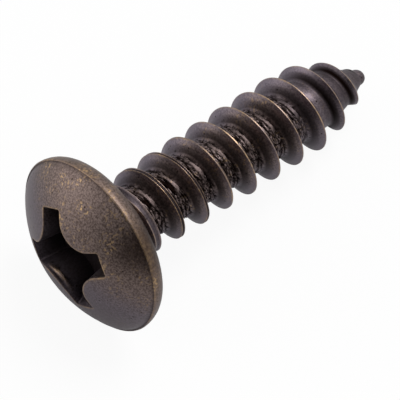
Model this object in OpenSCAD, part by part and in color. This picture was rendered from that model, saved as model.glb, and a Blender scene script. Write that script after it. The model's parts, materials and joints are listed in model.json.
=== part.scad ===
// Round head wood screw with a cross recess and a gimlet point.
// It lies as it comes to rest: on the edge of its head and on the last full thread crest.
// +X runs from the head to the point, +Z is up, and Z = 0 is the surface it lies on.

/* [Head] */
// Widest diameter of the head
head_d = 8.9; // [8:0.1:10]
// Height of the head, from its seat to the top of the dome
head_h = 2.7; // [2.5:0.1:3.2]
// Height of the outer band, from the seat to the crease round the dome
band_h = 0.95; // [0.75:0.05:1.1]
// Radius that rounds the band's edge down to the seat
edge_r = 0.55; // [0.3:0.05:0.65]
// Depth of the crease between the dome and the band
crease_depth = 0.07; // [0.03:0.01:0.12]
// Width of that crease
crease_w = 0.16; // [0.08:0.02:0.2]

/* [Cross recess] */
// Distance across two opposite wings, where they meet the dome
recess_span = 5.2; // [4.6:0.1:5.6]
// Depth of the recess at its centre, from the top of the dome
recess_depth = 2.15; // [1.8:0.05:2.2]
// Width of a wing at the top of the dome
wing_w = 1.2; // [0.9:0.05:1.4]
// Draft of a wing's two sides, in degrees
wing_draft = 6; // [2:0.5:8]
// Slope of a wing's end wall from the axis, in degrees
wing_slope = 26.5; // [20:0.5:30]
// Height of the shallow cone at the bottom of the recess
recess_cone_h = 0.35; // [0.2:0.05:0.5]
// Radius of the rounded lobes between the wings
lobe_r = 1.5; // [1.1:0.05:1.7]
// Turn of the recess about the screw's axis, in degrees
recess_turn = 40.5; // [0:0.5:90]

/* [Thread] */
// Length from the seat to the end of the point
length = 16.2; // [14:0.2:20]
// Diameter over the thread crests
thread_d = 4.25; // [3.9:0.05:4.6]
// Diameter of the core between the threads
core_d = 2.8; // [2.5:0.1:3.1]
// Distance from one crest to the next
pitch = 1.47; // [1.35:0.01:1.8]
// Slope of a flank from the plane across the axis, in degrees
flank_angle = 31; // [25:1:34]
// Width of the flat on a crest
crest_w = 0.06; // [0.04:0.01:0.12]
// Distance from the seat to the crest on the upper side of the first turn
first_crest = 1.3; // [1.1:0.05:1.6]
// Distance from the seat to where the thread begins
thread_start = 0.6; // [0.5:0.05:1]
// Length over which the thread rises out of the core
rise_len = 0.7; // [0.4:0.05:1.2]
// Length over which the risen thread grows to its full height
lead_in = 8.4; // [4:0.2:10]

/* [Neck] */
// Height of the flare where the core meets the seat
neck_h = 0.6; // [0.4:0.05:0.8]
// Width of the flare outside the thread crests, which leaves room for a plate's hole
neck_margin = 0.1; // [0.05:0.01:0.2]

/* [Point] */
// Length of the tapered point
point_len = 4; // [3.5:0.1:5]
// Diameter of the blunt end
tip_d = 0.3; // [0.2:0.05:0.5]
// Share of the thread's height that is left near the end
tip_thread_share = 0.5; // [0.3:0.05:0.7]
// Length of plain cone between the end of the thread and the end of the point
tip_plain = 0.5; // [0.3:0.05:0.8]
// Length over which the thread fades out
fade_len = 0.9; // [0.6:0.1:1.2]

/* [Hidden] */

finish_colour = "#574b43";
$fn = 96;

// Head
head_r = head_d / 2;
seat_r = head_r - edge_r;
dome_h = head_h - band_h;
dome_sphere_r = (head_r * head_r + dome_h * dome_h) / (2 * dome_h);

// Recess, with depths counted from the top of the dome
mouth_depth = dome_sphere_r - sqrt(pow(dome_sphere_r, 2) - pow(recess_span / 2, 2));
wing_depth = recess_depth - recess_cone_h;
wing_floor_r = recess_span / 2 - (wing_depth - mouth_depth) * tan(wing_slope);
wing_top_r = recess_span / 2 + mouth_depth * tan(wing_slope);
cut_over = 0.2;
lobe_bite = 0.02;
lobe_place = wing_w / 2 + lobe_r - lobe_bite;

// Thread form: where each point of one turn's outline lies, from the crest along the axis,
// and how much of the thread's height it has
steps = 36;
core_r = core_d / 2;
thread_h = thread_d / 2 - core_r;
flank_w = thread_h * tan(flank_angle);
flank_steps = [1, 0.7, 0.35, 0];
hollow = 1.35;
growth = 0.14;
outline = concat(
    [[-pitch / 2, 0]],
    [for (k = flank_steps) [-crest_w / 2 - k * flank_w, pow(1 - k, hollow)]],
    [for (i = [len(flank_steps) - 1 : -1 : 0])
        [crest_w / 2 + flank_steps[i] * flank_w, pow(1 - flank_steps[i], hollow)]]
);
row = len(outline);

// Stretches of the helix that are drawn together: the one inside the head and the one at the tip
root_depth = 0.3;
root_run = 1.25 * pitch;
tip_run = 2 * pitch;
point_start = length - point_len;
thread_end = length - tip_plain;
shrink_len = point_len - tip_plain - fade_len;
squeeze_lead = 0.3;
squeeze_start = thread_end - squeeze_lead;
squeeze_end = length + tip_run;
squeeze_power = (squeeze_end - squeeze_start) / (length - squeeze_start);
neck_flare = thread_h + neck_margin;

first_step = ceil((pitch / 2 - root_run - first_crest) / pitch * steps);
last_step = floor((squeeze_end - pitch / 2 - first_crest) / pitch * steps);
step_count = last_step - first_step + 1;

function clamp(x) = min(1, max(0, x));

// Depth below the seat of a place on the helix
function depth_at(s) =
    s < 0 ? root_depth * s / root_run :
    s < squeeze_start ? s :
    length - (length - squeeze_start)
        * pow(1 - (s - squeeze_start) / (squeeze_end - squeeze_start), squeeze_power);

// Radius of the core at a depth: the flare, the straight core, then the point
function core_at(u) =
    u < neck_h ? core_r + neck_flare * pow(1 - max(0, u) / neck_h, 2) :
    u < point_start ? core_r :
    tip_d / 2 + (core_r - tip_d / 2) * (1 - pow((u - point_start) / point_len, 2));

// Height of the thread at a depth: it grows under the head and shrinks along the point
function thread_at(u) =
    thread_h
        * clamp((u - thread_start) / rise_len)
        * pow(clamp((u - thread_start) / lead_in), growth)
        * (1 - (1 - tip_thread_share) * clamp((u - point_start) / shrink_len))
        * sqrt(clamp((thread_end - u) / fade_len));

// Point j of the outline at step i of the helix
function helix_point(i, j) =
    let (
        u = depth_at(first_crest + pitch * i / steps + outline[j][0]),
        r = core_at(u) + thread_at(u) * outline[j][1],
        turn = -360 * i / steps
    )
    [r * cos(turn), r * sin(turn), -u];

function index(i, j) = j == row ? (i + steps) * row : i * row + j;

helix_points = [
    for (i = [first_step : last_step])
        for (j = [0 : row - 1])
            helix_point(i, j)
];

// The screw tips over until a thread crest touches the surface that the head's edge rolls on.
// The upper side of the screw faces +X while it is upright, so a point's drop is -X.
function tip_over(p) =
    let (
        rise = seat_r + p[0],
        reach = edge_r - p[2]
    )
    atan2(rise, reach) + asin(edge_r / norm([rise, reach]));

tilt = min([for (p = helix_points) if (p[2] < -thread_start && p[0] < -tip_d) tip_over(p)]);
axis_height = seat_r * cos(tilt) - edge_r * sin(tilt) + edge_r;

// The seat's place along X puts the middle of the screw's length at X = 0
dome_reach = dome_sphere_r + (head_h - dome_sphere_r) * cos(tilt);
point_reach = length * cos(tilt) + tip_d / 2 * sin(tilt);
seat_x = (dome_reach - point_reach) / 2;

module head_outline() {
    intersection() {
        translate([0, head_h - dome_sphere_r])
            circle(r = dome_sphere_r, $fn = 4 * $fn);
        union() {
            translate([0, edge_r])
                square([head_r, head_h]);
            square([seat_r, head_h]);
            translate([seat_r, edge_r])
                circle(r = edge_r);
        }
    }
}

module crease_outline() {
    translate([head_r - crease_depth, band_h])
        polygon([[0, 0], [crease_depth * 2, crease_w], [crease_depth * 2, -crease_w]]);
}

module head() {
    rotate_extrude()
        intersection() {
            difference() {
                head_outline();
                crease_outline();
            }
            square([head_d, head_h * 2]);
        }
}

// One pair of opposite wings, with its sides drawn in towards the floor
module wing_pair() {
    top_w = wing_w / 2 + cut_over * tan(wing_draft);
    low_w = wing_w / 2 - recess_depth * tan(wing_draft);
    rotate([90, 0, 90])
        linear_extrude(height = 2 * wing_top_r + 1, center = true)
            polygon([
                [-top_w, head_h + cut_over],
                [top_w, head_h + cut_over],
                [low_w, head_h - recess_depth],
                [-low_w, head_h - recess_depth]
            ]);
}

// The middle of the recess, with a leaning round lobe left standing at each corner
module recess_middle() {
    lean = tan(wing_draft);
    difference() {
        translate([-lobe_place, -lobe_place, head_h - recess_depth])
            cube([2 * lobe_place, 2 * lobe_place, recess_depth + cut_over]);
        for (quarter = [0 : 3])
            rotate(90 * quarter)
                translate([lobe_place, lobe_place, head_h])
                    rotate(45)
                        rotate([0, atan(lean * sqrt(2)), 0])
                            cylinder(r = lobe_r, h = 4 * recess_depth, center = true);
    }
}

module recess() {
    rotate(recess_turn)
        intersection() {
            union() {
                wing_pair();
                rotate(90)
                    wing_pair();
                recess_middle();
            }
            union() {
                translate([0, 0, head_h - wing_depth])
                    cylinder(
                        r1 = wing_floor_r,
                        r2 = wing_top_r + cut_over * tan(wing_slope),
                        h = wing_depth + cut_over
                    );
                translate([0, 0, head_h - recess_depth])
                    cylinder(r1 = 0, r2 = wing_floor_r, h = recess_cone_h);
            }
        }
}

// Core, thread and point as one skin that follows the helix
module shank() {
    count = step_count;
    start_centre = len(helix_points);
    end_centre = start_centre + 1;
    start_loop = concat(
        [for (i = [0 : steps]) index(i, 0)],
        [for (j = [row - 1 : -1 : 1]) index(0, j)]
    );
    end_loop = concat(
        [for (i = [count - 1 - steps : count - 1]) index(i, row - 1)],
        [for (j = [row - 2 : -1 : 0]) index(count - 1, j)]
    );
    faces = concat(
        [for (i = [0 : count - 2])
            for (j = [0 : row - 1])
                if (j < row - 1 || i < count - 1 - steps)
                    for (half = [0, 1])
                        half == 0 ?
                            [index(i, j), index(i + 1, j + 1), index(i + 1, j)] :
                            [index(i, j), index(i, j + 1), index(i + 1, j + 1)]],
        [for (k = [0 : len(start_loop) - 1])
            [start_centre, start_loop[k], start_loop[(k + 1) % len(start_loop)]]],
        [for (k = [0 : len(end_loop) - 1])
            [end_centre, end_loop[(k + 1) % len(end_loop)], end_loop[k]]]
    );
    polyhedron(
        points = concat(helix_points, [[0, 0, root_depth / 2], [0, 0, -length - tip_d / 4]]),
        faces = faces
    );
}

module upright_screw() {
    difference() {
        head();
        recess();
    }
    shank();
}

module screw() {
    color(finish_colour)
        translate([seat_x, 0, axis_height])
            rotate([0, tilt - 90, 0])
                upright_screw();
}

screw();
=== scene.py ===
import json
from math import atan2, ceil, cos, exp, floor, pi, radians, sin, sqrt, tan

import bmesh
import bpy
from bpy.props import FloatProperty, FloatVectorProperty, PointerProperty
from mathutils import Euler, Matrix, Vector, noise


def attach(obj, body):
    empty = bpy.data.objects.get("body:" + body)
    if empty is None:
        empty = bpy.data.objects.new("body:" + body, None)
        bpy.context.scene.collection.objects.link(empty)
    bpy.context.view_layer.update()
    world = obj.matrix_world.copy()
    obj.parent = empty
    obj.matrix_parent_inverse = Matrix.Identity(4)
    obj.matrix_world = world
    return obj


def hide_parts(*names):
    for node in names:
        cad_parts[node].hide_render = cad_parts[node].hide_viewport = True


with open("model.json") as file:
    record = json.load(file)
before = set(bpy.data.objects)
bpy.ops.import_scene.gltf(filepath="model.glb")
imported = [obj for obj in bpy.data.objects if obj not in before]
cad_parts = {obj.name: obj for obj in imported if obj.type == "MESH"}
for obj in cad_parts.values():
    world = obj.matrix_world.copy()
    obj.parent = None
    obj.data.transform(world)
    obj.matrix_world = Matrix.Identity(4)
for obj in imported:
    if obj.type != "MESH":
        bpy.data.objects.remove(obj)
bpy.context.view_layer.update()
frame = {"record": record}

bl_info = {
    "name": "Round Head Wood Screw",
    "version": (1, 0, 0),
    "blender": (4, 5, 0),
    "location": "View3D > Sidebar > Wood Screw",
    "description": "Models an antique bronze wood screw with a low round head and its studio stage",
    "category": "Add Mesh",
}

MM = 0.001
MOUNTS = {mount["name"]: mount for mount in frame["record"]["mounts"]}

# Marks that the mesh carries for its finish and for the shade painted into it, from 0 to 1
MARKS = ("wear", "grime_and_shade", "rolled", "brown", "painted_umber_shade")

# Directions across the upright screw. Its upper side faces +X, and +X is up once it lies down.
LEAN_SIDE = Vector((0.914, -0.405, 0))
SHIFT_SIDE = Vector((-0.405, -0.914, 0))
RECESS_SIDE = Vector((0.737, 0.676, 0))
BEND_SIDE = Vector((-0.647, -0.763, 0))
BROWN_SIDE = Vector((1.0, -0.2, 0))

# How near two points of the mesh are before they become one, and how sharp a sharp edge is
NEAR = {"turns": 0.001 * MM, "cut": 0.0001 * MM, "skin": 0.0005 * MM}
SHARP = radians(50)

# Finer sizes of the head. CORNER rounds the end of a wing, LOBE_BITE is how far a lobe overlaps
# the sides of the wings, and DOME_EDGE and EDGE_DEPTH are measured in from the head's outside.
CORNER = 0.09 * MM
LOBE_BITE = 0.02 * MM
DOME_EDGE = 0.22 * MM
EDGE_DEPTH = 0.77 * MM

# How far the recess is off the middle of the head, and the head off the middle of the shank. That
# and the lean of the head fade out below the seat.
RECESS_SHIFT = 0.081 * MM
LEAN_OFFSET = -0.0744 * MM
HEAD_OFFSET = 0.1033 * MM
LEAN_FADE = 1.2 * MM

# The rings of the head, and the points on a quarter of each ring. Shares run from the bottom of
# the recess up, and grown rings lie so far outside its lip.
QUARTER_POINTS = {"end": 5, "corner": 4, "side": 6, "lobe": 22}
FLOOR_SHARES = (0.04, 0.3, 0.65)
WALL_SHARES = (0, 0.15, 0.3, 0.45, 0.6, 0.7, 0.78, 0.84, 0.88, 0.91, 0.94, 0.97)
LIP_RINGS = 4
GROWN_RINGS = (0.04 * MM, 0.1 * MM, 0.18 * MM, 0.28 * MM, 0.4 * MM)
DOME_RINGS = 20
EDGE_STEPS = 9
SEAT_SHARES = (0.25, 0.5, 0.75)
CUT_ROUNDS = 6

# Rings round the crease and on the worn upper edge of the band. Each row is how far out and up it
# is in mm, from the bottom of the crease or the outside of the band, how worn and how dark: in the
# crease that is dark patina together with painted shade.
CREASE_RINGS = (
    (-0.07, 0.095, 0, 0.12),
    (-0.035, 0.06, 0, 0.25),
    (-0.01, 0.03, 0, 0.38),
    (0.015, 0.015, 0, 0.4),
    (0.045, 0.018, 0.1, 0.3),
)
UPPER_EDGE_RINGS = (
    (-0.05, 0.025, 0.3, 0.1),
    (-0.025, 0.015, 0.38, 0),
    (-0.008, -0.01, 0.3, 0),
)

# The sunken ledge that the punch left: its lobe of the recess, its middle and width as shares of
# that lobe, how far it reaches in, and where on the wall it starts and ends, and how softly
LEDGE = {
    "lobe": 1, "middle": 0.5, "width": 0.34, "reach": 0.14 * MM,
    "low": 0.8, "high": 0.92, "soft": 0.015,
}

# How worn the parts of the head are, how dark they are with grime and painted shade, which is deepest
# in the recess and over the ledge, and how far from the lip the dome is worn
HEAD_WEAR = {"lip": 0.6, "dome": 0.2, "ledge": 0.75, "band": 0.22}
HEAD_GRIME_AND_SHADE = {
    "floor": 0.86, "wall": 0.84, "mouth": 0.2, "lip": 0.5,
    "riser_shade": 0.5, "band": 0.08, "band_foot": 0.18, "seat": 0.5, "neck": 0.7,
}
LIP_WEAR_FADE = 0.1 * MM

# Where the dome turns brown along BROWN_SIDE, and where a painted shade in umber darkens it towards
# +X and towards -Y
HEAD_BROWN = (0, 2.4 * MM)
UMBER_SHADE_UP = (1.5 * MM, 3.2 * MM)
UMBER_SHADE_SIDE = (1.5 * MM, 2.8 * MM)

# The helix: its steps in a turn, the depth where it starts, the lengths over which it rises out
# of the core and grows to its full height, and the powers that shape its growth and its flanks
STEPS = 150
THREAD_START = 0.6 * MM
RISE = 0.7 * MM
LEAD_IN = 8.4 * MM
GROWTH = 0.14
HOLLOW = 1.35

# The flare at the neck: its length, how far it stands past the crests, and where it is cut off
NECK = 0.6 * MM
NECK_MARGIN = 0.1 * MM
SEAT_CUT = 0.04 * MM

# The point: the lengths of its blunt end, of its plain cone and of the thread's fading, the share
# of the thread's height that is left there, its radius, its bend and the shape of its end
TIP_CUT = 0.45 * MM
TIP_PLAIN = 0.5 * MM
TIP_FADE = 0.9 * MM
TIP_SHARE = 0.5
TIP_CORE = 0.15 * MM
TIP_BEND = 0.19 * MM
TIP_BLUNT = 0.8
TIP_RINGS = 8

# Rows of points across a turn: as shares of the crest, then of the flank, then of the core
CREST_ROWS = (0.45, 0.82, 1.0)
FLANK_ROWS = (0.05, 0.13, 0.24, 0.37, 0.52, 0.68, 0.84, 1.0)
CORE_ROWS = 9

# Half the width of a crest in mm, and what the first crests have more, as they were rolled last,
# with the turns over which that fades
CREST_HALF = 0.028
CREST_EXTRAS = ((0.09, 0, 1.2), (0.055, 1.2, 3.8))

# A wide crest is a double lip with a groove, which comes in between two half widths. The first
# crests are rough, and that fades out over some turns.
GROOVE_WIDTHS = (0.03 * MM, 0.07 * MM)
GROOVE_DEPTH = 0.05 * MM
ROUGH_DEPTH = 0.02 * MM
ROUGH_TURNS = (3.4, 5)

# Marks that rolling left on the core, which come in below the neck and fade out on the point.
# Along it they are in turns from the middle of the upper side, at UPPER_TURN, and across it in mm
# from the middle of the core. Lengths, heights and depths are in mm too.
UPPER_TURN = 0.066
TURN_LENGTH = 8.8
RIDGE_HEIGHT = 0.035
PLATE_HEIGHT = 0.022
BOWL_DEPTH = 0.08
CORE_MARKS_IN = (0.7 * MM, 1.4 * MM)
CORE_MARKS_OUT = (10.5 * MM, 12.5 * MM)
# The smooth plate: start, end and soft end, along and across
PLATE_ALONG = (-0.115, 0.03, 0.015)
PLATE_ACROSS = (0.03, 0.22, 0.02)
# Each ridge: place across, width, share of the height, start, end, soft end
RIDGES = (
    (0.36, 0.03, 1.0, -0.14, 0.15, 0.02),
    (0.5, 0.03, 0.8, -0.22, 0.05, 0.03),
)
# Each long crack: place across, width, depth, start, end
CRACKS = (
    (0.285, 0.018, 0.08, -0.13, 0.1),
    (0.43, 0.016, 0.06, -0.25, 0.15),
    (0.2, 0.026, 0.085, 0.13, 0.22),
    (-0.02, 0.018, 0.06, -0.12, 0.06),
)
# Each bowl: middle along and across, length, width
BOWLS = ((-0.17, 0.24, 0.045, 0.04), (-0.135, 0.1, 0.03, 0.025))
# Each size of the loose scales round it: length, width and depth
SCALES = ((0.75, 0.24, 0.08), (0.4, 0.16, 0.06))
SCALES_ACROSS = (-0.32, 0.3, 0.05)

# Wear of the thread's edges at the seat, and what it gains from one depth to another
EDGE_WEAR = 0.4
EDGE_WEAR_GAINS = ((0.6, 0.9 * MM, 3 * MM), (-0.2, 4 * MM, 6 * MM))

# How dark the parts of the shank are with grime and painted shade, where the groove and the point
# get darker, and how high the thread is where its flanks hold all of it
SHANK_GRIME_AND_SHADE = {
    "upper_flank": 0.42, "upper_middle": 0.3, "lower_flank": 0.12, "foot": 0.2,
    "groove": 0.5, "deep_groove": 0.3, "point": 0.25,
}
GROOVE_GRIME = (1.6 * MM, 2.4 * MM)
POINT_GRIME = (12 * MM, 13.5 * MM)
DIRTY_HEIGHT = 0.25 * MM

# How brown the upper side of the shank is, and where that and the thread's grain come and go
SHANK_BROWN = 0.85
BROWN_END = (10 * MM, 12 * MM)
ROLLED_START = (0, 0.8 * MM)

# Studio. The camera aims at AIM, with a sensor in its own millimetres. Lamps and flags face the
# origin. The whites are how much plain white shows to the camera and in the metal.
AIM = Vector((-2.01, -1.39, 4.0)) * MM
SENSOR = 36
CLIP_START, CLIP_END = 10 * MM, 5
FLOOR_HALF = 0.6
FLOOR_WHITE = {"camera": 0.92, "mirrored": 0.17}
ROOM_WHITE = {"camera": 1.0, "mirrored": 1.0}
ROOM_LIGHT = 0.5
LAMPS = (
    {"name": "left_softbox", "place": (-0.28, 0.27, 0.1), "size": 0.3, "watts": 0.45},
    {"name": "top_softbox", "place": (0.22, 0.0, 0.4), "size": 0.25, "watts": 1.2},
)
FLAGS = (
    {"name": "front_flag", "place": (-0.36, -0.24, 0.12), "size": 0.75},
)


def linear(hex_colour):
    """An sRGB hex colour as linear RGBA."""
    parts = [int(hex_colour[i : i + 2], 16) / 255 for i in (1, 3, 5)]
    return [c / 12.92 if c <= 0.04045 else ((c + 0.055) / 1.055) ** 2.4 for c in parts] + [1]


class HeadSizes(bpy.types.PropertyGroup):
    """Sizes of the domed head."""

    diameter: FloatProperty(
        name="Diameter", description="Widest diameter of the head",
        default=8.9 * MM, min=8 * MM, max=10 * MM, precision=5, unit="LENGTH",
    )
    height: FloatProperty(
        name="Height", description="Height from the seat to the top of the dome",
        default=2.7 * MM, min=2.5 * MM, max=3.2 * MM, precision=5, unit="LENGTH",
    )
    band: FloatProperty(
        name="Band", description="Height of the outer band, from the seat to the crease",
        default=0.91 * MM, min=0.75 * MM, max=1.1 * MM, precision=5, unit="LENGTH",
    )
    edge: FloatProperty(
        name="Edge", description="Height of the band's rounding down to the seat",
        default=0.87 * MM, min=0.4 * MM, max=0.88 * MM, precision=5, unit="LENGTH",
    )
    crease: FloatProperty(
        name="Crease", description="Depth of the crease between the dome and the band",
        default=0.09 * MM, min=0.05 * MM, max=0.14 * MM, precision=5, unit="LENGTH",
    )
    lean: FloatProperty(
        name="Lean", description="Lean of the head on the shank, from forging",
        default=radians(2.43), min=0, max=radians(4), subtype="ANGLE",
    )


class RecessSizes(bpy.types.PropertyGroup):
    """Sizes of the cross recess."""

    span: FloatProperty(
        name="Span", description="Distance across two opposite wings, where they meet the dome",
        default=5.1 * MM, min=4.6 * MM, max=5.6 * MM, precision=5, unit="LENGTH",
    )
    wing: FloatProperty(
        name="Wing", description="Width of a wing at the top of the dome",
        default=1.2 * MM, min=0.9 * MM, max=1.4 * MM, precision=5, unit="LENGTH",
    )
    depth: FloatProperty(
        name="Depth", description="Depth at the centre, from the top of the dome",
        default=2.15 * MM, min=1.8 * MM, max=2.2 * MM, precision=5, unit="LENGTH",
    )
    cone: FloatProperty(
        name="Cone", description="Height of the shallow cone at the bottom",
        default=0.35 * MM, min=0.2 * MM, max=0.5 * MM, precision=5, unit="LENGTH",
    )
    lobe: FloatProperty(
        name="Lobe", description="Radius of the rounded lobes between the wings",
        default=1.5 * MM, min=1.1 * MM, max=1.7 * MM, precision=5, unit="LENGTH",
    )
    lip: FloatProperty(
        name="Lip", description="Radius of the worn lip round the recess",
        default=0.05 * MM, min=0.02 * MM, max=0.1 * MM, precision=5, unit="LENGTH",
    )
    draft: FloatProperty(
        name="Draft", description="Draft of a wing's two sides",
        default=radians(6), min=radians(2), max=radians(8), subtype="ANGLE",
    )
    slope: FloatProperty(
        name="Slope", description="Slope of a wing's end wall from the axis",
        default=radians(26.5), min=radians(20), max=radians(30), subtype="ANGLE",
    )
    turn: FloatProperty(
        name="Turn", description="Turn of the recess about the axis of the screw",
        default=radians(40), min=0, max=radians(90), subtype="ANGLE",
    )


class ThreadSizes(bpy.types.PropertyGroup):
    """Sizes of the shank, its thread and its point."""

    length: FloatProperty(
        name="Length", description="Length from the seat to the end of the point",
        default=16.2 * MM, min=14 * MM, max=20 * MM, precision=5, unit="LENGTH",
    )
    diameter: FloatProperty(
        name="Diameter", description="Diameter over the thread crests",
        default=4.25 * MM, min=3.9 * MM, max=4.6 * MM, precision=5, unit="LENGTH",
    )
    core: FloatProperty(
        name="Core", description="Diameter of the core between the threads",
        default=2.8 * MM, min=2.5 * MM, max=3.1 * MM, precision=5, unit="LENGTH",
    )
    pitch: FloatProperty(
        name="Pitch", description="Distance from one crest to the next",
        default=1.47 * MM, min=1.35 * MM, max=1.8 * MM, precision=5, unit="LENGTH",
    )
    crest: FloatProperty(
        name="Crest", description="Width of the flat on a crest",
        default=0.06 * MM, min=0.04 * MM, max=0.12 * MM, precision=5, unit="LENGTH",
    )
    flank: FloatProperty(
        name="Flank", description="Slope of a flank from the plane across the axis",
        default=radians(31), min=radians(25), max=radians(34), subtype="ANGLE",
    )
    first_crest: FloatProperty(
        name="First crest", description="Distance from the seat to the crest on the upper side",
        default=1.3 * MM, min=1.1 * MM, max=1.6 * MM, precision=5, unit="LENGTH",
    )
    point: FloatProperty(
        name="Point", description="Length of the tapered point",
        default=4 * MM, min=3.5 * MM, max=5 * MM, precision=5, unit="LENGTH",
    )


class FinishColours(bpy.types.PropertyGroup):
    """Colours of the antique bronze finish. The umber and the soot also stand for painted shade."""

    violet_dark: FloatVectorProperty(
        name="Violet grey, dark", description="Dark grains where the plating is little handled",
        default=linear("#484043"), size=4, min=0, max=1, subtype="COLOR",
    )
    violet_light: FloatVectorProperty(
        name="Violet grey, light", description="Light grains where the plating is little handled",
        default=linear("#675e65"), size=4, min=0, max=1, subtype="COLOR",
    )
    brown_dark: FloatVectorProperty(
        name="Brown, dark", description="Dark grains on the handled side of the dome",
        default=linear("#4f433f"), size=4, min=0, max=1, subtype="COLOR",
    )
    brown_light: FloatVectorProperty(
        name="Brown, light", description="Light grains on the handled side of the dome",
        default=linear("#776863"), size=4, min=0, max=1, subtype="COLOR",
    )
    # Umber is painted shade on the dark side of the dome
    painted_umber_shade: FloatVectorProperty(
        name="Umber", description="Darkest brown, at the side of the dome",
        default=linear("#2c201b"), size=4, min=0, max=1, subtype="COLOR",
    )
    thread_dark: FloatVectorProperty(
        name="Thread, dark", description="Dark grains of the rolled thread",
        default=linear("#5e5660"), size=4, min=0, max=1, subtype="COLOR",
    )
    thread_light: FloatVectorProperty(
        name="Thread, light", description="Light grains of the rolled thread",
        default=linear("#756d76"), size=4, min=0, max=1, subtype="COLOR",
    )
    fleck: FloatVectorProperty(
        name="Fleck", description="Flecks where the plating is rubbed thin",
        default=linear("#a58a68"), size=4, min=0, max=1, subtype="COLOR",
    )
    pit: FloatVectorProperty(
        name="Pit", description="Bottom of a pit",
        default=linear("#1c1514"), size=4, min=0, max=1, subtype="COLOR",
    )
    brass: FloatVectorProperty(
        name="Brass", description="Bare brass undercoat on worn edges",
        default=linear("#ad906c"), size=4, min=0, max=1, subtype="COLOR",
    )
    # Soot is black finish pooled in hollows, and also painted shade in the recess, the crease, the
    # cracks and on the thread's flanks
    soot_and_shade: FloatVectorProperty(
        name="Soot", description="Black finish that pooled in cracks and in the recess",
        default=linear("#120a08"), size=4, min=0, max=1, subtype="COLOR",
    )


class StageLook(bpy.types.PropertyGroup):
    """Camera and colours of the studio."""

    azimuth: FloatProperty(
        name="Azimuth", description="Direction that the camera looks in, from +Y towards +X",
        default=radians(40.53), subtype="ANGLE",
    )
    elevation: FloatProperty(
        name="Elevation", description="How steeply the camera looks down",
        default=radians(61.8), subtype="ANGLE",
    )
    distance: FloatProperty(
        name="Distance", description="Distance from the camera to what it aims at",
        default=137.83 * MM, precision=5, unit="LENGTH",
    )
    lens: FloatProperty(
        name="Lens", description="Focal length of the lens", default=270, unit="CAMERA",
    )
    floor: FloatVectorProperty(
        name="Floor", description="Colour of the plain floor",
        default=linear("#f4f4f4"), size=4, min=0, max=1, subtype="COLOR",
    )
    flag: FloatVectorProperty(
        name="Flag", description="Colour of the cloth on the studio flags",
        default=linear("#161414"), size=4, min=0, max=1, subtype="COLOR",
    )


def clamp(x):
    """A value kept from 0 to 1."""
    return min(1.0, max(0.0, x))


def smooth(low, high, x):
    """0 below low, 1 above high, with a soft rise between them."""
    t = clamp((x - low) / (high - low))
    return t * t * (3 - 2 * t)


def hump(x, middle, width):
    """A soft hump of height 1 round a middle value."""
    return exp(-((x - middle) / width) ** 2)


def window(x, low, high, soft):
    """1 between two values, with soft ends."""
    return smooth(low - soft, low + soft, x) * (1 - smooth(high - soft, high + soft, x))


# Head

def arc(centre, radius, start, end, count):
    """Points along an arc in the plan."""
    angles = [start + (end - start) * i / (count - 1) for i in range(count)]
    return [Vector((centre[0] + radius * cos(a), centre[1] + radius * sin(a))) for a in angles]


def between(start, end, count):
    """Points evenly spaced between two others."""
    return [start.lerp(end, (i + 1) / (count + 1)) for i in range(count)]


def recess_outline(recess, depth, grow):
    """The cross in plan, at a depth below its mouth and made wider all round by grow.
    Its points keep their number and order at every depth."""
    half = recess.wing / 2 - depth * tan(recess.draft) + grow
    reach = recess.span / 2 - depth * tan(recess.slope) + grow
    place = recess.wing / 2 + recess.lobe - LOBE_BITE - depth * tan(recess.draft)
    lobe = recess.lobe - grow
    corner = CORNER + grow
    side_end = place - sqrt(lobe ** 2 - (place - half) ** 2)
    turn = atan2(place - half, place - side_end)
    count = QUARTER_POINTS
    bend = arc((reach - corner, half - corner), corner, 0, pi / 2, count["corner"])
    end = between(Vector((reach, corner - half)), bend[0], count["end"])
    side = between(bend[-1], Vector((side_end, half)), count["side"])
    round_lobe = arc((place, place), lobe, pi + turn, 1.5 * pi - turn, count["lobe"])
    far_side = [p.yx for p in reversed(bend + side)]
    quarter = end + bend + side + round_lobe + far_side
    return [Matrix.Rotation(i * pi / 2, 2) @ p for i in range(4) for p in quarter]


def even_ring(points, worn, grimy_and_shaded):
    """A ring whose points are all as worn and as dark with grime and painted shade."""
    return list(points), [worn] * len(points), [grimy_and_shaded] * len(points)


def turned_ring(directions, radius, height):
    """Points of a ring of a turned shape, one in each direction from the axis."""
    return [Vector((*(d * radius), height)) for d in directions]


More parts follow.
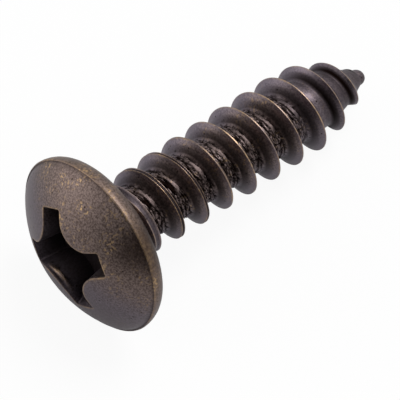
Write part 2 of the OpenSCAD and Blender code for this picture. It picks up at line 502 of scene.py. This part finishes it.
class HeadForm:
    """Where the rings of the head run, from the middle of the recess out to the neck.
    A ring is a list of points, and for each point how worn it is and how dark it is with grime and
    painted shade."""

    def __init__(self, head, recess, neck_radius):
        self.head, self.recess, self.neck_radius = head, recess, neck_radius
        self.radius = head.diameter / 2
        dome = head.height - head.band
        self.sphere = (self.radius ** 2 + dome ** 2) / (2 * dome)
        self.mouth = self.drop(recess.span / 2)
        wing_depth = recess.depth - recess.cone
        self.floor_radius = recess.span / 2 - (wing_depth - self.mouth) * tan(recess.slope)
        self.to_head = Matrix.Rotation(recess.turn, 2)
        self.shift = RECESS_SIDE.xy * RECESS_SHIFT

    def drop(self, radius):
        """Depth of the dome's surface below its top."""
        return self.sphere - sqrt(self.sphere ** 2 - radius ** 2)

    def dome(self, place):
        """Depth of the dome's surface at a place across the head."""
        return self.drop(place.length)

    def floor(self, place):
        """Depth of the shallow cone at the bottom of the recess."""
        share = min(1, (place - self.shift).length / self.floor_radius)
        return self.recess.depth - self.recess.cone * share

    def cut(self, grow, depth_at):
        """The ring where the recess, wider by grow, meets a surface."""
        mouth = recess_outline(self.recess, 0, grow)
        lower = recess_outline(self.recess, MM, grow)
        found = []
        for top, low in zip(mouth, lower):
            top, low = (self.to_head @ point + self.shift for point in (top, low))
            place = top
            for _ in range(CUT_ROUNDS):
                depth = depth_at(place)
                place = top + (low - top) * ((depth - self.mouth) / MM)
            found.append(Vector((*place, self.head.height - depth)))
        return found

    def recess_rings(self):
        """Floor, walls and worn lip of the recess."""
        lip = self.recess.lip
        bottom = self.cut(0, self.floor)
        middle = Vector((*self.shift, self.head.height - self.recess.depth))
        top = self.cut(0, lambda place: self.dome(place) + lip)
        rings = []
        # The floor and the walls are darkened with blackened finish together with painted shade,
        # darkest at the floor and lighter up to the mouth
        for share in FLOOR_SHARES:
            ring = [middle.lerp(p, share) for p in bottom]
            rings.append(even_ring(ring, 0, HEAD_GRIME_AND_SHADE["floor"]))
        for share in WALL_SHARES:
            ring = [a.lerp(b, share) for a, b in zip(bottom, top)]
            rings.append(self.ledge(ring, middle, share))
        for i in range(LIP_RINGS + 1):
            angle = pi / 2 * i / LIP_RINGS
            low = lip * (1 - sin(angle))
            ring = self.cut(lip * (1 - cos(angle)), lambda place: self.dome(place) + low)
            worn, grimy_and_shaded = HEAD_WEAR["lip"] * sin(angle), HEAD_GRIME_AND_SHADE["lip"] * cos(angle)
            rings.append(even_ring(ring, worn, grimy_and_shaded))
        return rings

    def ledge(self, ring, middle, share):
        """A ring of the wall. The punch left a sunken ledge on the lobe at the lower left."""
        counts = QUARTER_POINTS
        size = sum(counts.values()) + counts["corner"] + counts["side"]
        first = LEDGE["lobe"] * size + counts["end"] + counts["corner"] + counts["side"]
        # Blackened finish and painted shade on the wall, lighter towards the mouth
        lighter_to_mouth = HEAD_GRIME_AND_SHADE["wall"] - HEAD_GRIME_AND_SHADE["mouth"]
        points, worn, grimy_and_shaded = even_ring(ring, 0, HEAD_GRIME_AND_SHADE["wall"] - lighter_to_mouth * share ** 2)
        for i in range(counts["lobe"]):
            n = (first + i) % len(points)
            along = hump(i / (counts["lobe"] - 1), LEDGE["middle"], LEDGE["width"])
            out = window(share, LEDGE["low"], LEDGE["high"], LEDGE["soft"]) * along
            inward = (middle - points[n]).xy.normalized() * LEDGE["reach"] * out
            points[n] = points[n] + Vector((*inward, 0))
            worn[n] = HEAD_WEAR["ledge"] * out
            # Painted shade on the riser just above the ledge
            riser = along * smooth(LEDGE["high"] - 0.02, LEDGE["high"] + 0.01, share)
            grimy_and_shaded[n] += HEAD_GRIME_AND_SHADE["riser_shade"] * (riser - out)
        return points, worn, grimy_and_shaded

    def dome_rings(self):
        """The dome, from the lip of the recess to the crease."""
        lip = self.recess.lip
        rings = []
        for grow in GROWN_RINGS:
            worn = HEAD_WEAR["dome"] * (1 - smooth(0, LIP_WEAR_FADE, grow))
            rings.append(even_ring(self.cut(lip + grow, self.dome), worn, 0))
        start = [p.xy for p in rings[-1][0]]
        for i in range(1, DOME_RINGS + 1):
            ring = []
            for p in start:
                q = p.lerp(p.normalized() * (self.radius - DOME_EDGE), i / DOME_RINGS)
                ring.append(Vector((*q, self.head.height - self.drop(q.length))))
            rings.append(even_ring(ring, 0, 0))
        return rings

    def band_rings(self, directions):
        """The crease, the band with its worn upper edge, the rounded edge and the seat."""
        band, seat = self.head.band, self.radius - EDGE_DEPTH
        profile = []
        for start, rings in (
            (self.radius - self.head.crease, CREASE_RINGS),
            (self.radius, UPPER_EDGE_RINGS),
        ):
            for out, up, worn, grimy_and_shaded in rings:
                profile.append((start + out * MM, band + up * MM, worn, grimy_and_shaded))
        for i in range(EDGE_STEPS + 1):
            angle = pi / 2 * i / EDGE_STEPS
            place = self.radius - EDGE_DEPTH * (1 - cos(angle))
            worn = HEAD_WEAR["band"] * (1 - angle / 1.6) ** 3
            darker_to_foot = (HEAD_GRIME_AND_SHADE["band_foot"] - HEAD_GRIME_AND_SHADE["band"]) * sin(angle)
            height = self.head.edge * (1 - sin(angle))
            profile.append((place, height, worn, HEAD_GRIME_AND_SHADE["band"] + darker_to_foot))
        for share in SEAT_SHARES:
            place = seat + (self.neck_radius - seat) * share
            profile.append((place, 0, 0, HEAD_GRIME_AND_SHADE["seat"]))
        profile.append((self.neck_radius, 0, 0, HEAD_GRIME_AND_SHADE["neck"]))
        return [
            even_ring(turned_ring(directions, radius, height), worn, grimy_and_shaded)
            for radius, height, worn, grimy_and_shaded in profile
        ]

    def rings(self):
        """All the rings, which share their number of points."""
        found = self.recess_rings() + self.dome_rings()
        directions = [p.xy.normalized() for p in found[-1][0]]
        return found + self.band_rings(directions)


def loft(bm, rings, marks):
    """Joins rings of points by extruding each from the last. Returns the first and last edges."""
    verts = [bm.verts.new() for _ in rings[0][0]]
    edges = [bm.edges.new((verts[i - 1], verts[i])) for i in range(len(verts))]
    first = edges
    for n, ring in enumerate(rings):
        if n:
            made = bmesh.ops.extrude_edge_only(bm, edges=edges)["geom"]
            new = {g for g in made if isinstance(g, bmesh.types.BMVert)}
            edges = [g for g in made if isinstance(g, bmesh.types.BMEdge) and set(g.verts) <= new]
            verts = [
                next(e.other_vert(v) for e in v.link_edges if e.other_vert(v) in new) for v in verts
            ]
        for v, place, worn, grimy_and_shaded in zip(verts, *ring):
            v.co = place
            v[marks["wear"]] = worn
            v[marks["grime_and_shade"]] = grimy_and_shaded
    return first, edges


def make_head(bm, form, marks):
    """The head as one skin, closed at the bottom of the recess. Returns its open edges."""
    first, last = loft(bm, form.rings(), marks)
    cap = bmesh.ops.extrude_edge_only(bm, edges=first)["geom"]
    pole = [g for g in cap if isinstance(g, bmesh.types.BMVert)]
    centre = sum((v.co for v in pole), Vector()) / len(pole)
    bmesh.ops.pointmerge(bm, verts=pole, merge_co=centre)
    # Brown, and over it umber, which is painted shade on the dark side of the dome
    for v in bm.verts:
        brown = smooth(*HEAD_BROWN, v.co.dot(BROWN_SIDE))
        v[marks["brown"]] = brown
        v[marks["painted_umber_shade"]] = brown * smooth(*UMBER_SHADE_UP, v.co.x) * smooth(*UMBER_SHADE_SIDE, -v.co.y)
    return last


# Shank

class ShankForm:
    """Radius of the shank at each place along its helix."""

    def __init__(self, thread):
        self.thread = thread
        self.core = thread.core / 2
        self.height = thread.diameter / 2 - self.core
        self.flank = self.height * tan(thread.flank)
        self.flare = self.height + NECK_MARGIN
        self.point_start = thread.length - thread.point
        self.thread_end = thread.length - TIP_PLAIN
        self.shrink = thread.point - TIP_PLAIN - TIP_FADE

    def core_at(self, u):
        """Radius of the core at a depth: the flare, the straight core, then the point."""
        if u < NECK:
            return self.core + self.flare * (1 - max(0, u) / NECK) ** 2
        if u < self.point_start:
            return self.core
        share = (u - self.point_start) / self.thread.point
        return TIP_CORE + (self.core - TIP_CORE) * (1 - share ** 2)

    def thread_at(self, u):
        """Height of the thread at a depth."""
        risen = clamp((u - THREAD_START) / RISE)
        grown = clamp((u - THREAD_START) / LEAD_IN) ** GROWTH
        shrunk = 1 - (1 - TIP_SHARE) * clamp((u - self.point_start) / self.shrink)
        return self.height * risen * grown * shrunk * sqrt(clamp((self.thread_end - u) / TIP_FADE))

    def row_offsets(self):
        """Places of the rows across one turn, from one core middle to the next."""
        half, crest = self.thread.pitch / 2, self.thread.crest / 2
        foot = crest + self.flank
        side = [crest * k for k in CREST_ROWS] + [crest + self.flank * k for k in FLANK_ROWS]
        side += [foot + (half - foot) * (i + 1) / CORE_ROWS for i in range(CORE_ROWS)]
        return [-x for x in reversed(side)] + [0] + side

    def place(self, co):
        """Turns from the first crest, and the distance along the axis from the crest."""
        base = -atan2(co.y, co.x) / (2 * pi)
        turns = base + floor((-co.z - self.thread.first_crest) / self.thread.pitch - base + 0.5)
        return turns, -co.z - self.thread.first_crest - self.thread.pitch * turns


def parts_but(others, *kinds):
    """The parts of a mesh, apart from others that were made before, always in the same order."""
    return [part for kind in kinds for part in kind if part not in others]


def make_shank(bm, form, marks):
    """The shank as a row across one turn spun down the helix. Returns its open edges at both ends."""
    thread = form.thread
    before = floor(-(thread.first_crest + thread.pitch) / thread.pitch)
    after = ceil((thread.length + thread.pitch - thread.first_crest) / thread.pitch)
    start = -thread.first_crest - thread.pitch * before
    head = {*bm.verts, *bm.edges, *bm.faces}
    row = [bm.verts.new((form.core, 0, start - x)) for x in form.row_offsets()]
    line = [bm.edges.new(pair) for pair in zip(row, row[1:])]
    bmesh.ops.spin(
        bm, geom=row + line, cent=(0, 0, 0), axis=(0, 0, 1), dvec=(0, 0, -thread.pitch / STEPS),
        angle=-2 * pi, steps=STEPS,
    )
    turn = parts_but(head, bm.verts, bm.edges, bm.faces)
    for i in range(1, after - before):
        copied = bmesh.ops.duplicate(bm, geom=turn)["geom"]
        moved = [g for g in copied if isinstance(g, bmesh.types.BMVert)]
        bmesh.ops.translate(bm, verts=moved, vec=(0, 0, -thread.pitch * i))
    bmesh.ops.remove_doubles(bm, verts=parts_but(head, bm.verts), dist=NEAR["turns"])
    for v in parts_but(head, bm.verts):
        shape_shank(v, form, marks)
    ends = []
    for depth, side in ((SEAT_CUT, 1), (thread.length - TIP_CUT, -1)):
        cut = bmesh.ops.bisect_plane(
            bm, geom=parts_but(head, bm.verts, bm.edges, bm.faces), dist=NEAR["cut"],
            plane_co=(0, 0, -depth), plane_no=(0, 0, side), clear_outer=True,
        )
        ends.append([g for g in cut["geom_cut"] if isinstance(g, bmesh.types.BMEdge)])
    return ends


def rolled_core(turn, across, number):
    """Folds and cracks that thread rolling left on the core: their height and how dark they are with
    blackened finish and painted shade in the cracks and bowls. A ridge is less dark than the plain
    core.
    turn counts from the upper side, across in mm from the middle of the core."""
    along = turn * TURN_LENGTH
    y = across + 0.03 * noise.noise((along * 0.9, 3.1, number * 0.21))
    y += 0.012 * noise.noise((along * 4, 7, 1))
    ridge = 0
    for place, width, share, start, end, soft in RIDGES:
        ridge += share * hump(y, place, width) * window(turn, start, end, soft)
    plate = window(turn, *PLATE_ALONG) * window(y, *PLATE_ACROSS)
    height = RIDGE_HEIGHT * ridge + PLATE_HEIGHT * plate
    crack = 0
    for place, width, deep, start, end in CRACKS:
        crack = max(crack, deep * hump(y, place, width) * window(turn, start, end, 0.03))
    for middle, place, length, width in BOWLS:
        bowl = ((turn - middle) / length) ** 2 + ((y - place) / width) ** 2
        crack = max(crack, BOWL_DEPTH * clamp(1.3 - bowl))
    loose = window(y, *SCALES_ACROSS) * (1 - 0.85 * plate)
    for size_x, size_y, deep in SCALES:
        place = (along / size_x + 0.5 * y / size_y, y / size_y, number * 0.13 + deep * 99)
        near, points = noise.voronoi(place)
        gap = 1 - smooth(0.01, 0.13, near[1] - near[0])
        crack = max(crack, deep * gap * loose)
        height += 0.5 * deep * noise.cell(points[0]) * loose
    return height - crack, max(0.3 * plate, smooth(0.015, 0.055, crack)) - 0.25 * clamp(ridge)


def crest_half_width(turns):
    """Half the width of a crest."""
    half = CREST_HALF
    for extra, start, end in CREST_EXTRAS:
        half += extra * (1 - smooth(start, end, turns))
    return half * MM


class Spot:
    """Where a point of the plain helix lies on the thread, where it belongs and its marks.
    Its depth is below the seat, and its turn is from the middle of the upper side. It is so far
    out on a wide crest, so far down a flank, and at such a share of the thread's height."""

    def __init__(self, form, co):
        turns, offset = form.place(co)
        self.lower = offset > 0
        flat = form.thread.crest / 2
        half = crest_half_width(turns)
        self.on_crest = min(1, abs(offset) / flat)
        self.on_flank = clamp((abs(offset) - flat) / form.flank)
        side = 1 if self.lower else -1
        if self.on_flank < 1:
            offset = side * (half * self.on_crest + (flat + form.flank - half) * self.on_flank)
        self.share = (1 - self.on_flank) ** HOLLOW
        self.depth = form.thread.first_crest + form.thread.pitch * turns + offset

        narrow, wide = GROOVE_WIDTHS
        self.wide = clamp((half - narrow) / (wide - narrow))
        self.groove = self.wide * (1 - smooth(CREST_ROWS[0], CREST_ROWS[1], self.on_crest))
        self.crest = max(0, form.thread_at(self.depth) - GROOVE_DEPTH * self.groove)
        rough = noise.noise((turns * 14, 0.3, 5)) * (1 - smooth(*ROUGH_TURNS, turns))
        radius = form.core_at(self.depth) + self.crest * self.share
        radius += ROUGH_DEPTH * rough * smooth(0.8, 1, self.share)

        self.turn = (turns - UPPER_TURN + 0.5) % 1 - 0.5
        number = floor(turns - UPPER_TURN + 0.5)
        across = (offset - side * form.thread.pitch / 2) / MM
        height, dark = rolled_core(self.turn, across, number if self.lower else number - 1)
        self.low = 1 - smooth(0.12, 0.42, self.share)
        rolled = self.low * smooth(*CORE_MARKS_IN, self.depth)
        rolled *= 1 - smooth(*CORE_MARKS_OUT, self.depth)
        self.dark = dark * rolled
        self.co = Vector((*(co.xy.normalized() * (radius + height * rolled * MM)), -self.depth))

    def edge(self):
        """How much a point is on a sharp edge of the thread."""
        inner = 0.5 * (1 - self.wide) * smooth(CREST_ROWS[0], 1, self.on_crest)
        return (1 - self.groove) * (1 - smooth(0, 0.07, self.on_flank)) * (1 - inner)

    def wear(self):
        """Edges are rubbed less near the head, past the first crests, away from the upper side
        and on the lower lip of a wide crest."""
        rubbed = EDGE_WEAR
        for gain, start, end in EDGE_WEAR_GAINS:
            rubbed += gain * smooth(start, end, self.depth)
        rubbed *= 1 - 0.5 * smooth(0.12, 0.3, abs(self.turn))
        return self.edge() * rubbed * (1 - 0.5 * self.wide * self.lower)

    def middle(self):
        """How near a point is to the middle of the upper side."""
        return 1 - smooth(0.1, 0.26, abs(self.turn))

    def grime_and_shade(self):
        """Grime lies in cracks, in the groove, on the flanks that face the head and at the point. On
        those flanks, most in the middle of the upper side, and at the foot of the flanks it is grime
        together with painted shade from the next turn.
        """
        # Flanks facing the head and the flank feet: grime together with painted shade from the next
        # turn
        dirt_and_shade = SHANK_GRIME_AND_SHADE["lower_flank"]
        if not self.lower:
            dirt_and_shade = SHANK_GRIME_AND_SHADE["upper_flank"] + SHANK_GRIME_AND_SHADE["upper_middle"] * self.middle()
        dirt_and_shade *= clamp(self.crest / DIRTY_HEIGHT) * window(self.share, 0.08, 0.6, 0.18)
        dirt_and_shade += SHANK_GRIME_AND_SHADE["foot"] * self.low * (self.on_flank > 0.5)
        dirt_and_shade += SHANK_GRIME_AND_SHADE["point"] * smooth(*POINT_GRIME, self.depth) * (1 - self.edge())
        pooled = SHANK_GRIME_AND_SHADE["groove"]
        pooled += SHANK_GRIME_AND_SHADE["deep_groove"] * smooth(*GROOVE_GRIME, self.depth)
        return max(self.dark, self.groove * pooled, dirt_and_shade + min(0, self.dark))

    def brown(self):
        """The upper side is brown with handling, less so on the crests and the point."""
        brown = SHANK_BROWN * self.middle() * (1 - 0.6 * smooth(0.75, 0.95, self.share))
        return brown * (1 - 0.6 * smooth(*BROWN_END, self.depth))


def shape_shank(v, form, marks):
    """Moves a point of the plain helix out to the thread, and marks it."""
    spot = Spot(form, v.co)
    v.co = spot.co
    v[marks["wear"]] = spot.wear()
    v[marks["grime_and_shade"]] = spot.grime_and_shade()
    v[marks["rolled"]] = smooth(*ROLLED_START, spot.depth)
    v[marks["brown"]] = spot.brown()


def make_tip(bm, form, edges):
    """The plain blunt end below the thread, in rings extruded from the cut edge."""
    thread = form.thread
    start = -edges[0].verts[0].co.z
    start_radius = form.core_at(start)
    for i in range(1, TIP_RINGS + 1):
        made = bmesh.ops.extrude_edge_only(bm, edges=edges)["geom"]
        verts = [g for g in made if isinstance(g, bmesh.types.BMVert)]
        edges = [g for g in made if isinstance(g, bmesh.types.BMEdge) and set(g.verts) <= set(verts)]
        angle = pi / 2 * i / (TIP_RINGS + 1)
        depth = start + (thread.length - start) * sin(angle)
        for v in verts:
            v.co = Vector((*(v.co.xy.normalized() * start_radius * cos(angle) ** TIP_BLUNT), -depth))
    made = bmesh.ops.extrude_edge_only(bm, edges=edges)["geom"]
    pole = [g for g in made if isinstance(g, bmesh.types.BMVert)]
    bmesh.ops.pointmerge(bm, verts=pole, merge_co=(0, 0, -thread.length))


def lean_and_bend(bm, head, thread):
    """The head leans a little and the tip bends, as forging and rolling left them."""
    lean = Matrix.Rotation(head.lean, 3, Vector((0, 0, 1)).cross(LEAN_SIDE))
    shift = LEAN_SIDE * LEAN_OFFSET + SHIFT_SIDE * HEAD_OFFSET
    bend_start = thread.length - thread.point
    for v in bm.verts:
        share = smooth(-LEAN_FADE, 0, v.co.z)
        past = max(0, -v.co.z - bend_start) / thread.point
        v.co = v.co.lerp(lean @ v.co + shift, share) + BEND_SIDE * TIP_BEND * past ** 2


def lying_place(thread):
    """The transform that lays the upright screw where the frame has it."""
    axis = Vector(MOUNTS["thread"]["axis"]).normalized()
    seat = Vector(MOUNTS["thread"]["pos_m"]) - axis * thread.length / 2
    side = Vector((0, 1, 0))
    upper = side.cross(-axis)
    turn = Matrix((upper, side, -axis)).transposed()
    return Matrix.Translation(seat) @ turn.to_4x4()


class WOOD_SCREW_OT_make_screw(bpy.types.Operator):
    """Model the whole screw as one skin and give it its antique bronze finish"""

    bl_idname = "wood_screw.make_screw"
    bl_label = "Make Screw"

    def execute(self, context):
        scene = context.scene
        bm = bmesh.new()
        marks = {name: bm.verts.layers.float.new(name) for name in MARKS}
        shank = ShankForm(scene.screw_thread)
        head = HeadForm(scene.screw_head, scene.screw_recess, shank.core_at(0))
        head_edges = make_head(bm, head, marks)
        seat_edges, tip_edges = make_shank(bm, shank, marks)
        make_tip(bm, shank, tip_edges)
        bmesh.ops.bridge_loops(bm, edges=head_edges + seat_edges)
        bmesh.ops.remove_doubles(bm, verts=bm.verts, dist=NEAR["skin"])
        lean_and_bend(bm, scene.screw_head, scene.screw_thread)
        bm.transform(lying_place(scene.screw_thread))
        bmesh.ops.recalc_face_normals(bm, faces=bm.faces)
        mesh = bpy.data.meshes.new("wood_screw")
        bm.to_mesh(mesh)
        bm.free()
        mesh.polygons.foreach_set("use_smooth", [True] * len(mesh.polygons))
        mesh.set_sharp_from_angle(angle=SHARP)
        screw = bpy.data.objects.new("wood_screw", mesh)
        scene.collection.objects.link(screw)
        mesh.materials.append(antique_bronze(scene.screw_finish))
        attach(screw, "root")
        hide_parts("screw")
        return {"FINISHED"}


# Materials

def add_node(tree, kind, inputs=None, **settings):
    """Adds a node with its settings. Each input is a value, or the socket that it is linked from.
    Returns the outputs of the node by their identifiers."""
    node = tree.nodes.new(kind)
    for name, value in settings.items():
        setattr(node, name, value)
    sockets = {socket.identifier: socket for socket in node.inputs}
    for name, value in (inputs or {}).items():
        if isinstance(value, bpy.types.NodeSocket):
            tree.links.new(value, sockets[name])
        else:
            sockets[name].default_value = value
    return {socket.identifier: socket for socket in node.outputs}


def new_material(name):
    """An empty node material, and its node tree."""
    material = bpy.data.materials.new(name)
    material.use_nodes = True
    material.node_tree.nodes.clear()
    return material, material.node_tree


def antique_bronze(colours):
    """Steel plated in antique bronze and blackened. The skin is a dark, slightly glossy metal with
    a fine mottle and small pits. It is violet grey, and browner where it is handled. It is rubbed
    through to brass in flecks and along each sharp edge, and soot-black where the finish pooled.
    Umber is painted shade on the dark side of the dome, and the soot-black is also painted shade
    in the recess, the crease, the cracks and on the flanks of the thread."""
    material, tree = new_material("antique_bronze_plated_steel")
    place = add_node(tree, "ShaderNodeTexCoord")["Object"]
    found = {}
    for name in MARKS:
        found[name] = add_node(tree, "ShaderNodeAttribute", attribute_name=name)["Fac"]

    # Each pattern with the size of its features in mm. The real grain is about 0.03 mm, too fine
    # to show in the picture, and is drawn at 0.09 mm.
    patterns = (
        ("grain", "ShaderNodeTexNoise", 0.09, {"Detail": 2, "Roughness": 0.6}, "Fac"),
        ("speck", "ShaderNodeTexNoise", 0.14, {"Detail": 1}, "Fac"),
        ("patch", "ShaderNodeTexNoise", 0.9, {"Detail": 2}, "Fac"),
        ("pit", "ShaderNodeTexVoronoi", 0.45, {}, "Distance"),
    )
    for name, kind, size, values, result in patterns:
        inputs = {"Vector": place, "Scale": 1 / (size * MM), **values}
        found[name] = add_node(tree, kind, inputs)[result]

    # Each range with its source, the source's low and high values, and what they become
    ranges = (
        ("mottle", "grain", 0.38, 0.62, 0, 1),
        ("fine mottle", "grain", 0.34, 0.66, 0, 1),
        ("bright speck", "speck", 0.56, 0.68, 0, 1),
        ("bright patch", "patch", 0.46, 0.64, 0, 1),
        ("handled", "brown", 0.3, 1, 0.1, 1),
        ("spared", "painted_umber_shade", 0, 0.6, 1, 0.1),
        ("pitted", "pit", 0.13, 0.04, 0, 1),
        ("broken edge", "speck", 0.3, 0.58, 0.25, 1),
        ("faded edge", "patch", 0.35, 0.6, 0.4, 1),
        ("umber share", "painted_umber_shade", 0, 1, 0, 0.72),
        ("grain gloss", "grain", 0.3, 0.7, 0.42, 0.56),
        ("rolled gloss", "rolled", 0, 1, 0, 0.1),
        ("dull", "grime_and_shade", 0.2, 0.8, 0, 0.25),
        ("pit depth", "pit", 0.13, 0.04, 0, 1.5),
    )
    for name, source, low, high, start, end in ranges:
        inputs = {"Value": found[source], "From Min": low, "From Max": high}
        inputs.update({"To Min": start, "To Max": end})
        found[name] = add_node(tree, "ShaderNodeMapRange", inputs)["Result"]

    # Each result with what is done to two others
    sums = (
        ("flecks", "MULTIPLY", "bright speck", "bright patch"),
        ("flecks", "MULTIPLY", "flecks", "handled"),
        ("flecks", "MULTIPLY", "flecks", "spared"),
        ("brass edge", "MULTIPLY", "wear", "broken edge"),
        ("brass edge", "MULTIPLY", "brass edge", "faded edge"),
        ("gloss", "SUBTRACT", "grain gloss", "rolled gloss"),
        ("gloss", "ADD", "gloss", "dull"),
        ("relief", "SUBTRACT", "grain", "pit depth"),
    )
    for name, operation, first, second in sums:
        inputs = {"Value": found[first], "Value_001": found[second]}
        found[name] = add_node(tree, "ShaderNodeMath", inputs, operation=operation)["Value"]

    # Layers of the finish from the bottom up. The first of each pair is where it covers.
    skin = colours.violet_dark
    layers = (
        ("fine mottle", colours.violet_light),
        ("rolled", ("fine mottle", colours.thread_dark, colours.thread_light)),
        ("brown", ("mottle", colours.brown_dark, colours.brown_light)),
        # Umber: painted shade on the dark side of the dome
        ("umber share", colours.painted_umber_shade),
        ("flecks", colours.fleck),
        ("pitted", colours.pit),
        ("brass edge", colours.brass),
        # Soot: black finish pooled in hollows, together with painted shade in the recess, the crease,
        # the cracks and on the flanks
        ("grime_and_shade", colours.soot_and_shade),
    )
    for share, colour in layers:
        if isinstance(colour, tuple):
            grains = {"Factor_Float": found[colour[0]], "A_Color": colour[1], "B_Color": colour[2]}
            colour = add_node(tree, "ShaderNodeMix", grains, data_type="RGBA")["Result_Color"]
        inputs = {"Factor_Float": found[share], "A_Color": skin, "B_Color": colour}
        skin = add_node(tree, "ShaderNodeMix", inputs, data_type="RGBA")["Result_Color"]

    # Grain and pits are up to about 0.006 mm deep
    bump = {"Strength": 0.5, "Distance": 0.006 * MM, "Height": found["relief"]}
    shader = {
        "Metallic": 1.0, "Base Color": skin, "Roughness": found["gloss"],
        "Normal": add_node(tree, "ShaderNodeBump", bump)["Normal"],
    }
    surface = add_node(tree, "ShaderNodeBsdfPrincipled", shader)["BSDF"]
    add_node(tree, "ShaderNodeOutputMaterial", {"Surface": surface})
    return material


def seen_share(tree, camera, mirrored):
    """How much of the plain white a ray sees: a camera ray's share, or a reflected ray's."""
    rays = add_node(tree, "ShaderNodeLightPath")
    both = {"Value": rays["Is Glossy Ray"], "Value_001": rays["Is Transmission Ray"]}
    reflected = {
        "Value": add_node(tree, "ShaderNodeMath", both, operation="MAXIMUM")["Value"],
        "Value_001": mirrored,
    }
    straight = {"Value": rays["Is Camera Ray"], "Value_001": camera}
    total = {
        "Value": add_node(tree, "ShaderNodeMath", reflected, operation="MULTIPLY")["Value"],
        "Value_001": add_node(tree, "ShaderNodeMath", straight, operation="MULTIPLY")["Value"],
    }
    return add_node(tree, "ShaderNodeMath", total, operation="ADD")["Value"]


def floor_paper(colour):
    """Matte white studio paper: plain, so that only the soft shadow of the screw shows on it."""
    material, tree = new_material("matte_white_paper")
    shader = {
        "Fac": seen_share(tree, **FLOOR_WHITE),
        "Shader": add_node(tree, "ShaderNodeBsdfDiffuse", {"Color": colour})["BSDF"],
        "Shader_001": add_node(tree, "ShaderNodeEmission", {"Color": (1, 1, 1, 1)})["Emission"],
    }
    surface = add_node(tree, "ShaderNodeMixShader", shader)["Shader"]
    add_node(tree, "ShaderNodeOutputMaterial", {"Surface": surface})
    return material


def white_studio():
    """A white room: plain white where it is looked at or mirrored, and a softer light otherwise."""
    world = bpy.data.worlds.new("white_studio")
    world.use_nodes = True
    tree = world.node_tree
    tree.nodes.clear()
    light = {"Color": (1, 1, 1, 1), "Strength": ROOM_LIGHT}
    white = {"Color": (1, 1, 1, 1), "Strength": 1.0}
    shader = {
        "Fac": seen_share(tree, **ROOM_WHITE),
        "Shader": add_node(tree, "ShaderNodeBackground", light)["Background"],
        "Shader_001": add_node(tree, "ShaderNodeBackground", white)["Background"],
    }
    surface = add_node(tree, "ShaderNodeMixShader", shader)["Shader"]
    add_node(tree, "ShaderNodeOutputWorld", {"Surface": surface})
    return world


def black_velvet(colour):
    """Black velvet on a studio flag: it gives the metal something dark to mirror."""
    material, tree = new_material("black_velvet")
    surface = add_node(tree, "ShaderNodeBsdfDiffuse", {"Color": colour})["BSDF"]
    add_node(tree, "ShaderNodeOutputMaterial", {"Surface": surface})
    return material


def add_stage(context, name, half, place, material):
    """Adds a flat square piece of the studio, from half its width and a transform."""
    bm = bmesh.new()
    bmesh.ops.create_grid(bm, x_segments=1, y_segments=1, size=half)
    bm.transform(place)
    mesh = bpy.data.meshes.new(name)
    bm.to_mesh(mesh)
    bm.free()
    mesh.materials.append(material)
    thing = bpy.data.objects.new(name, mesh)
    context.scene.collection.objects.link(thing)
    return thing


def facing(place):
    """A transform at a place that turns the local Z axis away from the screw."""
    turn = Vector(place).to_track_quat("Z", "Y").to_matrix()
    return Matrix.Translation(place) @ turn.to_4x4()


class WOOD_SCREW_OT_make_stage(bpy.types.Operator):
    """Make the floor, the flags, the lamps, the white studio and the camera"""

    bl_idname = "wood_screw.make_stage"
    bl_label = "Make Stage"

    def execute(self, context):
        scene = context.scene
        look = scene.screw_stage
        lowest = min(corner[2] for corner in bpy.data.objects["wood_screw"].bound_box)
        level = Matrix.Translation((0, 0, lowest))
        add_stage(context, "studio_floor", FLOOR_HALF, level, floor_paper(look.floor))
        for flag in FLAGS:
            half, place = flag["size"] / 2, facing(flag["place"])
            cloth = add_stage(context, flag["name"], half, place, black_velvet(look.flag))
            cloth.visible_camera = False
            cloth.visible_shadow = False
            cloth.visible_diffuse = False
        for lamp in LAMPS:
            light = bpy.data.lights.new(lamp["name"], "AREA")
            light.shape = "DISK"
            light.size = lamp["size"]
            light.energy = lamp["watts"]
            softbox = bpy.data.objects.new(lamp["name"], light)
            softbox.matrix_world = facing(lamp["place"])
            scene.collection.objects.link(softbox)
        turn = Euler((pi / 2 - look.elevation, 0, -look.azimuth)).to_matrix().to_4x4()
        lens = bpy.data.cameras.new("camera")
        lens.lens = look.lens
        lens.sensor_width = SENSOR
        lens.clip_start = CLIP_START
        lens.clip_end = CLIP_END
        camera = bpy.data.objects.new("camera", lens)
        camera.matrix_world = (
            Matrix.Translation(AIM) @ turn @ Matrix.Translation((0, 0, look.distance))
        )
        scene.collection.objects.link(camera)
        scene.camera = camera
        scene.world = white_studio()
        scene.view_settings.view_transform = "Standard"
        return {"FINISHED"}


class WOOD_SCREW_PT_panel(bpy.types.Panel):
    """Sizes of the screw, and the steps that make it"""

    bl_idname = "WOOD_SCREW_PT_panel"
    bl_label = "Wood Screw"
    bl_space_type = "VIEW_3D"
    bl_region_type = "UI"
    bl_category = "Wood Screw"

    def draw(self, context):
        for pointer, group, title in GROUPS:
            box = self.layout.box()
            box.label(text=title)
            for name in group.__annotations__:
                box.prop(getattr(context.scene, pointer), name)
        self.layout.operator("wood_screw.make_screw")
        self.layout.operator("wood_screw.make_stage")


GROUPS = (
    ("screw_head", HeadSizes, "Head"),
    ("screw_recess", RecessSizes, "Cross recess"),
    ("screw_thread", ThreadSizes, "Thread"),
    ("screw_finish", FinishColours, "Finish"),
    ("screw_stage", StageLook, "Stage"),
)
CLASSES = (WOOD_SCREW_OT_make_screw, WOOD_SCREW_OT_make_stage, WOOD_SCREW_PT_panel)


def register():
    """Registers the groups of sizes and colours, the operators and the panel."""
    for name, group, _ in GROUPS:
        bpy.utils.register_class(group)
        setattr(bpy.types.Scene, name, PointerProperty(type=group))
    for cls in CLASSES:
        bpy.utils.register_class(cls)


def unregister():
    """Undoes what register does, in reverse."""
    for cls in reversed(CLASSES):
        bpy.utils.unregister_class(cls)
    for name, group, _ in reversed(GROUPS):
        delattr(bpy.types.Scene, name)
        bpy.utils.unregister_class(group)


def main():
    """Makes the screw and its stage."""
    register()
    bpy.ops.wood_screw.make_screw()
    bpy.ops.wood_screw.make_stage()


if __name__ == "__main__":
    main()
